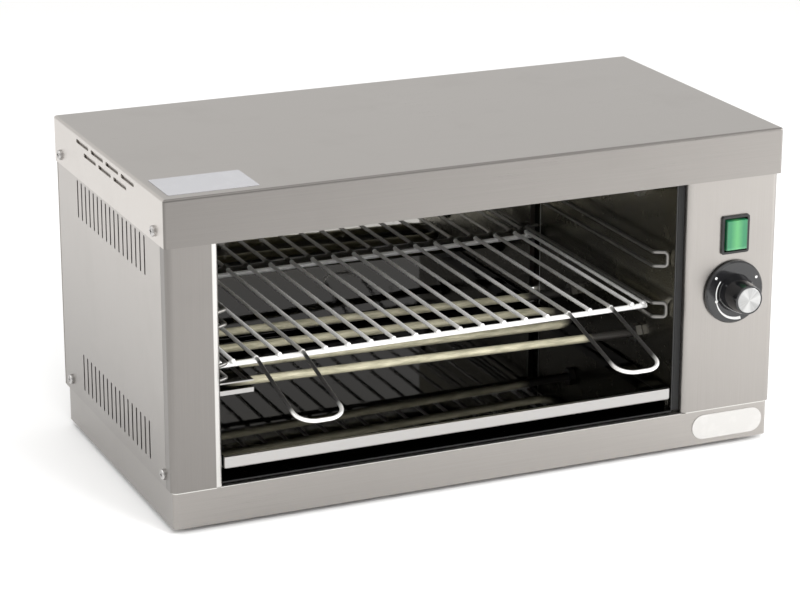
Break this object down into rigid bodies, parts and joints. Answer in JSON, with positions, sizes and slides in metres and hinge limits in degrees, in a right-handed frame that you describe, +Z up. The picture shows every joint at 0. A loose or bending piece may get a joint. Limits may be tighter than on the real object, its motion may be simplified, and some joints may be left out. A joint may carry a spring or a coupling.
{
  "type": "cheese melter",
  "caption": "Open-fronted countertop cheese melter with a sliding wire rack on wire runners, heating rods, crumb tray, timer knob and rocker switch",
  "frame": {"origin": "centre of the footprint from the rack handles to the cord gland's tail, on the worktop", "axes": "+X to the right seen from the front, +Y to the back, +Z up"},
  "size_m": [0.5048, 0.321, 0.2553],
  "materials": {
    "outer_steel": "satin brushed",
    "chamber_steel": "bright rolled, heat stained",
    "rack_wire": "bright plated wire",
    "rod_sheath": "matt oxide coated sheath",
    "plated_screw": "zinc plated",
    "terminal_brass": "bare",
    "insulator_ceramic": "unglazed",
    "foot_rubber": "moulded",
    "seal_rubber": "moulded",
    "knob_plastic": "gloss phenolic",
    "knob_cap_aluminium": "spun face",
    "black_plastic": "moulded",
    "rocker_green": "translucent moulded",
    "block_plastic": "moulded",
    "wire_cover": "silicone sleeve",
    "label_film": "satin film",
    "badge_paint": "enamel"
  },
  "bodies": {
    "body": {"back_panel": "outer_steel", "back_screws": "plated_screw", "base_tub": "outer_steel", "blank_badge": "badge_paint", "blank_label": "label_film", "chamber_back_wall": "chamber_steel", "chamber_ceiling": "chamber_steel", "chamber_floor": "chamber_steel", "chamber_seal": "seal_rubber", "chamber_wall_left": "chamber_steel", "chamber_wall_right": "chamber_steel", "cord_gland": "black_plastic", "element_insulators": "insulator_ceramic", "element_nuts": "plated_screw", "element_terminals": "terminal_brass", "floor_rail_left": "outer_steel", "floor_rail_right": "outer_steel", "foot_back_left": "foot_rubber", "foot_back_right": "foot_rubber", "foot_front_left": "foot_rubber", "foot_front_right": "foot_rubber", "front_frame": "outer_steel", "gland_nut": "black_plastic", "hood_cover": "outer_steel", "hood_screws": "plated_screw", "lower_element": "rod_sheath", "lower_element_holder": "chamber_steel", "rack_runner_lower_left": "rack_wire", "rack_runner_lower_right": "rack_wire", "rack_runner_upper_left": "rack_wire", "rack_runner_upper_right": "rack_wire", "side_panel_left": "outer_steel", "side_panel_right": "outer_steel", "side_screws": "plated_screw", "switch_housing": "black_plastic", "switch_terminals": "terminal_brass", "terminal_block": "block_plastic", "terminal_block_screws": "plated_screw", "timer_body": "black_plastic", "timer_nut": "plated_screw", "timer_terminals": "terminal_brass", "tray_rail_left": "chamber_steel", "tray_rail_right": "chamber_steel", "upper_element": "rod_sheath", "upper_element_holder": "chamber_steel", "wiring": "wire_cover"},
    "rack": {"rack_grid": "rack_wire", "rack_handle_left": "rack_wire", "rack_handle_right": "rack_wire"},
    "crumb_tray": {"crumb_tray": "chamber_steel"},
    "knob": {"knob_body": "knob_plastic", "knob_cap": "knob_cap_aluminium", "timer_shaft": "plated_screw"},
    "rocker": {"rocker": "rocker_green"}
  },
  "joints": [
    {"name": "rack_slide", "type": "slide", "parent": "body", "child": "rack", "axis": [0, -1, 0], "range_m": [-0.0025, 0.16]},
    {"name": "crumb_tray_slide", "type": "slide", "parent": "body", "child": "crumb_tray", "axis": [0, -1, 0], "range_m": [-0.0045, 0.2]},
    {"name": "knob_turn", "type": "hinge", "parent": "body", "child": "knob", "pos_m": [0.211, -0.107, 0.1285], "axis": [0, 1, 0], "range_deg": [0, 300]},
    {"name": "rocker_tilt", "type": "hinge", "parent": "body", "child": "rocker", "pos_m": [0.211, -0.1045, 0.1745], "axis": [-1, 0, 0], "range_deg": [0, 12]}
  ]
}
